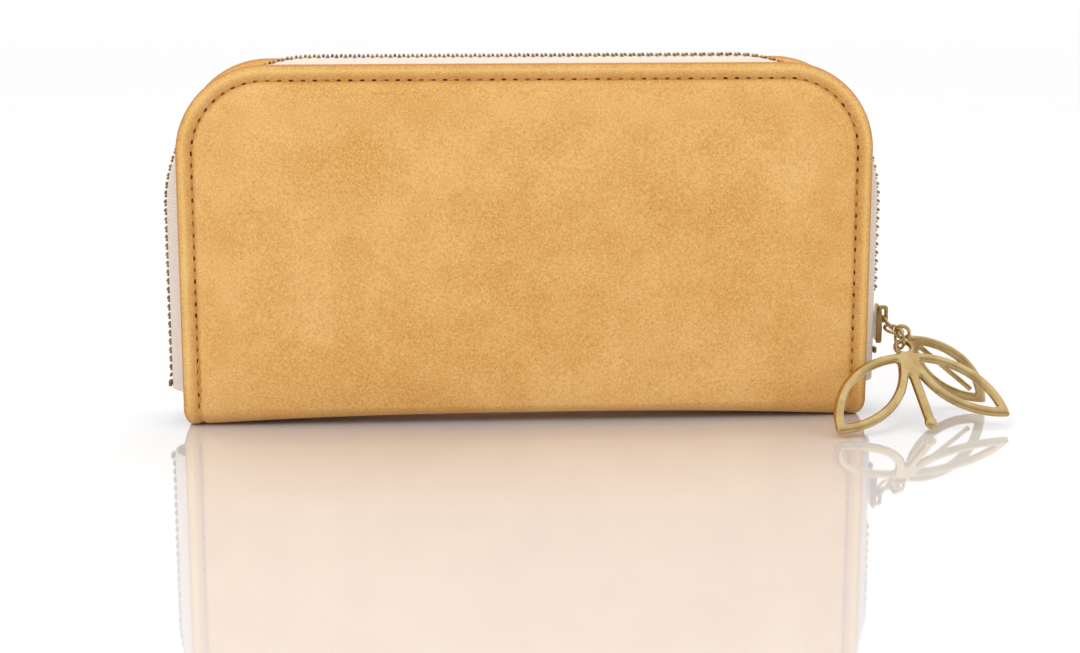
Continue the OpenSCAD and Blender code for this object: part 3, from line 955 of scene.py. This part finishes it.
def domed(mesh):
    """The points of a flat casting, made thinner towards its edges so that its section is round."""
    co, normal = np.zeros(len(mesh.vertices) * 3), np.zeros(len(mesh.vertices) * 3)
    mesh.vertices.foreach_get("co", co)
    mesh.vertices.foreach_get("normal", normal)
    local, facing = co.reshape(-1, 3), np.abs(normal.reshape(-1, 3)[:, 2])
    rim = np.flatnonzero(facing < 0.5)
    tree = kdtree.KDTree(len(rim))
    for i in rim:
        tree.insert((local[i, 0], local[i, 1], 0), int(i))
    tree.balance()
    away = np.array([tree.find((x, y, 0))[2] for x, y, _ in local])
    share = np.clip(away / DOME_REACH, 0, 1)
    local[:, 2] *= THIN_EDGE + (1 - THIN_EDGE) * np.sqrt(1 - (1 - share) ** 2)
    return local


def cast_charm(node):
    """The charm as a casting: its outline from the frame, with its edges and joins rounded. It is
    remeshed in its own plane, so that its faces stay flat."""
    points = node_points(node)
    middle, axes = plate_frame(points)
    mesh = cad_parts[node].data.copy()
    mesh.vertices.foreach_set("co", ((points - middle) @ axes.T).ravel())
    obj = new_object(node + "_cast", mesh)
    remesh = obj.modifiers.new("remesh", "REMESH")
    remesh.mode = "VOXEL"
    remesh.voxel_size = CAST_VOXEL
    for i, times in enumerate(CAST_SMOOTHING):
        soft = obj.modifiers.new(f"soft_{i}", "SMOOTH")
        soft.factor, soft.iterations = 0.5, times
    evaluated = obj.evaluated_get(bpy.context.evaluated_depsgraph_get())
    cast = bpy.data.meshes.new_from_object(evaluated)
    obj.modifiers.clear()
    obj.data = cast
    local = domed(cast)
    cast.vertices.foreach_set("co", ((local @ axes + middle) * MM).ravel())
    cast.polygons.foreach_set("use_smooth", [True] * len(cast.polygons))
    cast.materials.clear()
    cast.materials.append(gold)
    finish_piece(obj, node, [node])


for ring_node, split_turn in (("ring_1", 200), ("ring_2", 80), ("ring_3", 300)):
    jump_ring(ring_node, split_turn)
for charm_node in ("front_charm", "rear_charm"):
    cast_charm(charm_node)

# ---- inside: shared sheets ----

PANEL_N = (18, 12, 40)  # points up a side, round a corner and along the top of an inner panel


def box_grid(node, r, stations=PANEL_N):
    """Points [x, z] over a panel with rounded top corners, and the distance to its nearest edge."""
    low, high = box_mm(node)
    path, _ = u_path(high[0], high[2], r, low[2], *stations)
    flat = patch_grid(path, stations[0] + stations[1] // 2)
    x, z = flat[..., 0], flat[..., 1]
    return x, z, np.minimum(corner_distance(high[0] - np.abs(x), high[2] - z, r), z - low[2])


def fold_path(points):
    """Corner cutting, which turns a few points into a soft curve that keeps its two ends."""
    p = np.asarray(points, float)
    for _ in range(3):
        cut = np.empty((2 * len(p) - 2, p.shape[1]))
        cut[0::2] = p[:-1] * 0.75 + p[1:] * 0.25
        cut[1::2] = p[:-1] * 0.25 + p[1:] * 0.75
        p = np.vstack([p[0], cut[1:-1], p[-1]])
    return p


def swept_sheet(name, section, lengths, thick, place, material):
    """A sheet of constant thickness whose section [a, b] runs along a third direction."""
    section = np.array(section, float)
    step = np.gradient(section, axis=0)
    step /= np.linalg.norm(step, axis=1)[:, None]
    normal = np.c_[-step[:, 1], step[:, 0]]
    far, near, uv = [], [], []
    run = arc_lengths(section)
    for i, (p, n) in enumerate(zip(section, normal)):
        for t in lengths:
            far.append(place(p + n * thick / 2, t))
            near.append(place(p - n * thick / 2, t))
            uv.append((t, run[i]))
    faces = grid_faces(len(section), len(lengths))
    verts, faces = close_sheet(np.array(far), np.array(near), faces)
    return make_piece(name, verts, faces, material, 60, uv=np.vstack([uv, uv]))


def panel(name, node, body, grid, relief, material):
    """A thin panel in the place of its CAD node. relief(x, z, d) gives what each face gains, the
    one towards the purse first."""
    x, z, d = grid
    low, high = box_mm(node)
    side = 1 if low[1] + high[1] > 0 else -1
    close, away = sorted((abs(low[1]), abs(high[1])))
    soften = 0.38 * (away - close) * (1 - np.clip(d / 0.7, 0, 1)) ** 2
    gain, back = relief(x, z, d)
    near = np.c_[x.ravel(), (close + soften - gain).ravel(), z.ravel()]
    far = np.c_[x.ravel(), (away - soften + back).ravel(), z.ravel()]
    verts, faces = close_sheet(far, near, grid_faces(*x.shape))
    obj = make_piece(name, to_side(verts, side), faces, material, 60, uv=verts[:, [0, 2]])
    return finish_piece(obj, body, [node])


# ---- inside: linings and card slots ----


def flat_relief(x, z, d):
    return np.zeros_like(x), np.zeros_like(x)


SLOT_N = (36, 10, 150)  # finer, for the hem and the seam of a card slot


def slot_relief(top):
    """Hem along the slot's mouth, and the seam that parts it into two columns."""

    def relief(x, z, d):
        hem = 0.05 * (1 / (1 + np.exp((top - z - 3.2) * 6)))
        seam = 0.16 * np.exp(-((x / 1.3) ** 2)) + 0.08 * np.exp(-(((top - z - 3.4) / 0.9) ** 2))
        return hem - seam, np.zeros_like(x)

    return relief


def slot_threads(name, node, body, side):
    """Stitches under the slot's mouth and down its middle seam."""
    low, high = box_mm(node)
    depth = min(abs(low[1]), abs(high[1])) - 0.02
    out = -side * Y_AXIS
    places = []
    for x in np.arange(low[0] + 4, high[0] - 4, 3.0):
        if abs(x) > 1.5:
            places.append(((x, side * depth, high[2] - 3.4), X_AXIS, Z_AXIS, out))
    if name.endswith("_3"):
        for z in np.arange(low[2] + 2, high[2] - 1.5, 3.0):
            places.append(((0, side * depth, z), Z_AXIS, X_AXIS, out))
    obj = make_piece(name + "_threads", *scatter(capsule(2.1, 0.17, 6), places), thread)
    return finish_piece(obj, body)


for wrap_side, (half_name, half_body) in WRAP_SIDES.items():
    lining_node = half_name + "_lining"
    lining_grid = box_grid(lining_node, CORNER_R - 4.8)
    lining = panel(lining_node + "_cloth", lining_node, half_body, lining_grid, flat_relief,
                   lining_cloth)
    lining_size = size_mm(lining_node) * MM
    for layer in (1, 2, 3):
        slot_node = f"{half_name}_slot_{layer}"
        slot_top = box_mm(slot_node)[1][2]
        slot_name = f"{half_name}_card_slot_{layer}"
        slot_grid = box_grid(slot_node, 5.0, SLOT_N)
        slot = panel(slot_name, slot_node, half_body, slot_grid, slot_relief(slot_top),
                     tan_flat)
        sewing = slot_threads(slot_name, slot_node, half_body, wrap_side)
        slot_width, _, slot_height = size_mm(slot_node)
    board_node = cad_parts[half_name + "_board"]
    board_node.data.materials.clear()
    board_node.data.materials.append(board)


def spine_floor(p, t):
    return (t, p[0], foot_height(t) + SKIN_T + p[1])


strip_low, strip_high = box_mm("spine_lining")
strip_half = strip_high[1]
strip_section = [(y, 0.35 + 0.5 * abs(y / strip_half) ** 6)
                 for y in np.linspace(-strip_half, strip_half, 21)]
strip = swept_sheet("spine_lining_cloth", strip_section, np.linspace(strip_low[0], strip_high[0], 60), 0.4,
                    spine_floor, lining_cloth)
finish_piece(strip, "case", ["spine_lining"])

# ---- inside: gussets ----


def gusset(x_side, word):
    """One pleated cloth from the front card panel round the purse's end to the back card panel."""
    low, high = box_mm("back_gusset_right")
    wide, deep = high[0], high[1]
    inner = wide - 2.7
    line = [(inner - 1.6, -deep), (wide - 0.2, -deep + 0.1), (wide, -deep + 1.0), (inner + 0.2, -deep / 2),
            (inner, -1.4), (inner, 1.4), (inner + 0.2, deep / 2), (wide, deep - 1.0),
            (wide - 0.2, deep - 0.1), (inner - 1.6, deep)]
    section = fold_path(line)
    obj = swept_sheet("gusset_" + word, section, np.linspace(low[2], high[2], 24), 0.4,
                      lambda p, t: (x_side * p[0], p[1], t), lining_cloth)
    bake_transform(obj)
    finish_piece(obj, None, [f"front_gusset_{word}", f"back_gusset_{word}"])
    arc_lengths(section)[-1] * MM


gusset(-1, "left")
gusset(1, "right")

# ---- inside: coin purse ----

purse_low, purse_high = box_mm("purse_front_panel")
PURSE_HALF = purse_high[0]
PURSE_TOP = purse_high[2]
PURSE_Z = purse_low[2]


def purse_relief(x, z, d):
    """The purse's walls belly out a little, with a hem at the mouth."""
    belly = 0.55 * np.clip(d / 18, 0, 1) ** 0.7
    hem = 0.12 * (1 / (1 + np.exp((PURSE_TOP - z - 4.0) * 5)))
    pull = 0.12 * np.exp(-(((PURSE_TOP - z - 4.4) / 0.4) ** 2))
    return -belly, belly + hem - pull


for wrap_side, (half_name, _) in WRAP_SIDES.items():
    wall_node = f"purse_{half_name}_panel"
    wall = panel(f"purse_{half_name}_wall", wall_node, "purse", box_grid(wall_node, 4.0), purse_relief,
                 lining_cloth)
    wall_face = abs(box_mm(wall_node)[0 if wrap_side < 0 else 1][1]) + 0.1
    wall_places = [((x, wrap_side * wall_face, PURSE_TOP - 4.4), X_AXIS, Z_AXIS, wrap_side * Y_AXIS)
                   for x in np.arange(-PURSE_HALF + 4, PURSE_HALF - 4, 3.0)]
    wall_sewing = scatter(capsule(2.1, 0.16, 6), wall_places)
    wall_threads = make_piece(f"purse_{half_name}_threads", *wall_sewing, thread)
    finish_piece(wall_threads, "purse")

edge_low, edge_high = box_mm("purse_edge_strip")
edge_path = np.vstack([
    [(-PURSE_HALF + 0.5, edge_high[2])],
    [(-PURSE_HALF + 0.5, PURSE_Z + 3.0)],
    arc_points(-PURSE_HALF + 3.0, PURSE_Z + 3.0, 2.5, 180, 270, 9),
    arc_points(PURSE_HALF - 3.0, PURSE_Z + 3.0, 2.5, 270, 360, 9),
    [(PURSE_HALF - 0.5, edge_high[2])],
])
edge_strip = swept_sheet("purse_edge_cloth", edge_path, np.linspace(edge_low[1], edge_high[1], 7), 0.5,
                         lambda p, t: (p[0], t, p[1]), lining_cloth)
finish_piece(edge_strip, "purse", ["purse_edge_strip"])


def purse_tape(side, word):
    node = f"purse_{word}_tape"
    low, high = box_mm(node)
    deep = max(abs(low[1]), abs(high[1])) - 0.25
    top = high[2] - 0.25
    section = fold_path([(deep, low[2]), (deep, high[2] - 1.2), (deep - 0.1, top), (deep - 1.0, top),
                         (0.15, top)])
    obj = swept_sheet(f"purse_{word}_zip_tape", section, np.linspace(low[0], high[0], 80), 0.5,
                      lambda p, t: (t, side * p[0], p[1]), tape_cloth)
    finish_piece(obj, "purse", [node])
    arc_lengths(section)[-1]


purse_tape(-1, "front")
purse_tape(1, "back")

coin_low, coin_high = box_mm("purse_teeth")
COIN_PITCH = 1.6
COIN_COUNT = 96
COIN_LEAN = 0.22  # every other tooth belongs to the other row
coin_mid = (coin_low[2] + coin_high[2]) / 2
coin_places = [((coin_low[0] + 0.45 + i * COIN_PITCH, COIN_LEAN * (-1) ** (i + 1), coin_mid),
                Z_AXIS, X_AXIS, Y_AXIS) for i in range(COIN_COUNT)]
coin_tooth = rounded_box((0.95, 1.0, 1.25), (0, 0, 0), 0.22)
coin_teeth = make_piece("purse_zip_teeth", *scatter(coin_tooth, coin_places), zip_gold, 35)
finish_piece(coin_teeth, "purse", ["purse_teeth"])


def purse_hardware():
    low, high = box_mm("purse_slider")
    mid_x = (low[0] + high[0]) / 2
    half_x = (high[0] - low[0]) / 2
    half_y = high[1]
    lid = high[2] - 2.1
    shield = outline_of((half_x - 1.2, -half_y + 1.4, 1.0, -90, 0), (half_x - 1.2, half_y - 1.4, 1.0, 0, 90),
                        (-half_x + 1.4, half_y - 1.2, 1.2, 90, 180),
                        (-half_x + 1.4, -half_y + 1.2, 1.2, 180, 270))
    top = turned(plate(shield, 0, 0.95, 0.28), FACING_Z, (mid_x, 0, lid - 0.95))
    rail = plate(round_rect(half_x - 0.9, 0, 2.5, 0.4), 0, 0.85, 0.2)
    rails = [turned(rail, FACING_Y, (mid_x, y, low[2])) for y in (-half_y + 0.05, half_y - 0.9)]
    bridge, window = round_rect(2.2, 0, 2.3, 0.9), round_rect(0.65, 0.45, 1.75, 0.6)
    arch = turned(plate(bridge, -0.5, 0.5, 0.2, window), FACING_Y, (mid_x, 0, lid - 0.2))
    obj = make_piece("purse_zip_slider", *gather(top, *rails, arch), zip_gold, 50)
    finish_piece(obj, "purse_slider", ["purse_slider"])
    low, high = box_mm("purse_puller")
    pin = low[0] + 0.6
    flat_z = (low[2] + high[2]) / 2
    reach = high[0] - pin
    tab = [(a, b) for b, a in round_rect(2.2, 3.8, reach, 1.4)][::-1]
    eye = [(a, b) for b, a in round_rect(1.1, reach - 3.6, reach - 1.4, 1.09)][::-1]
    blade = turned(plate(tab, -0.45, 0.45, 0.2, eye), FACING_Z, (pin, 0, flat_z))
    arms = [rounded_box((5.2, 0.85, 0.95), (pin + 2.0, y, flat_z), 0.22) for y in (-1.15, 1.15)]
    axle, axle_faces = capsule(3.1, 0.48, 14)
    axle = axle[:, [0, 2, 1]] + np.array([pin, 0, flat_z])
    tab_piece = make_piece("purse_zip_puller", *gather(blade, *arms, (axle, axle_faces)), zip_gold, 50)
    finish_piece(tab_piece, "purse_puller", ["purse_puller"])


purse_hardware()


# ---- camera and light ----

CAMERA_DISTANCE = 600.0
CAMERA_AZIMUTH = math.radians(3.9)
CAMERA_PITCH = math.radians(11.53)
camera = new_object("camera", bpy.data.cameras.new("camera"))
camera.location = (
    (4.18 - CAMERA_DISTANCE * math.sin(CAMERA_AZIMUTH)) * MM,
    -CAMERA_DISTANCE * math.cos(CAMERA_AZIMUTH) * MM,
    147.7 * MM,
)
camera.rotation_euler = (math.pi / 2 - CAMERA_PITCH, 0, -CAMERA_AZIMUTH)
camera.data.sensor_width = 36
camera.data.lens = 70.58
camera.data.clip_start = 0.01
scene.camera = camera

floor_mesh = bpy.data.meshes.new("floor")
floor_mesh.from_pydata([(-4, -4, 0), (4, -4, 0), (4, 6, 0), (-4, 6, 0)], [], [(0, 1, 2, 3)])
floor = new_object("floor", floor_mesh)
floor_shade = Shader("floor", roughness=0.04, metallic=0.3, Base_Color=(0.84, 0.84, 0.85, 1),
                     Specular_IOR_Level=0.7)
floor_mesh.materials.append(floor_shade.material)

# White sweep behind the object, and a dimmer room in front of it
world = bpy.data.worlds.new("studio")
world.use_nodes = True
sky = world.node_tree
toward = sky.nodes.new("ShaderNodeSeparateXYZ")
sky.links.new(sky.nodes.new("ShaderNodeTexCoord").outputs["Generated"], toward.inputs[0])
fade = sky.nodes.new("ShaderNodeMapRange")
fade.interpolation_type = "SMOOTHSTEP"
for key, value in (("From Min", -0.75), ("From Max", 0.1), ("To Min", 0.56), ("To Max", 1.06)):
    fade.inputs[key].default_value = value
sky.links.new(toward.outputs["Y"], fade.inputs["Value"])
sky.links.new(fade.outputs["Result"], sky.nodes["Background"].inputs["Strength"])
sky.nodes["Background"].inputs["Color"].default_value = (1.0, 1.0, 1.0, 1)
scene.world = world


def softbox(name, place, aim, size, power):
    light = bpy.data.lights.new(name, "AREA")
    light.shape, light.size, light.size_y, light.energy = "RECTANGLE", size[0], size[1], power
    lamp = new_object(name, light)
    lamp.location = place
    lamp.visible_glossy = False
    lamp.rotation_euler = (Vector(place) - Vector(aim)).to_track_quat("Z", "Y").to_euler()


softbox("key", (-0.5, -0.7, 0.9), (0, 0, 0.05), (0.6, 0.5), 3.9)
softbox("fill", (0.9, -0.5, 0.5), (0, 0, 0.05), (0.5, 0.7), 1.3)
softbox("top", (0.0, 0.4, 1.0), (0, 0, 0.1), (0.8, 0.5), 3)

scene.view_settings.view_transform = "Standard"
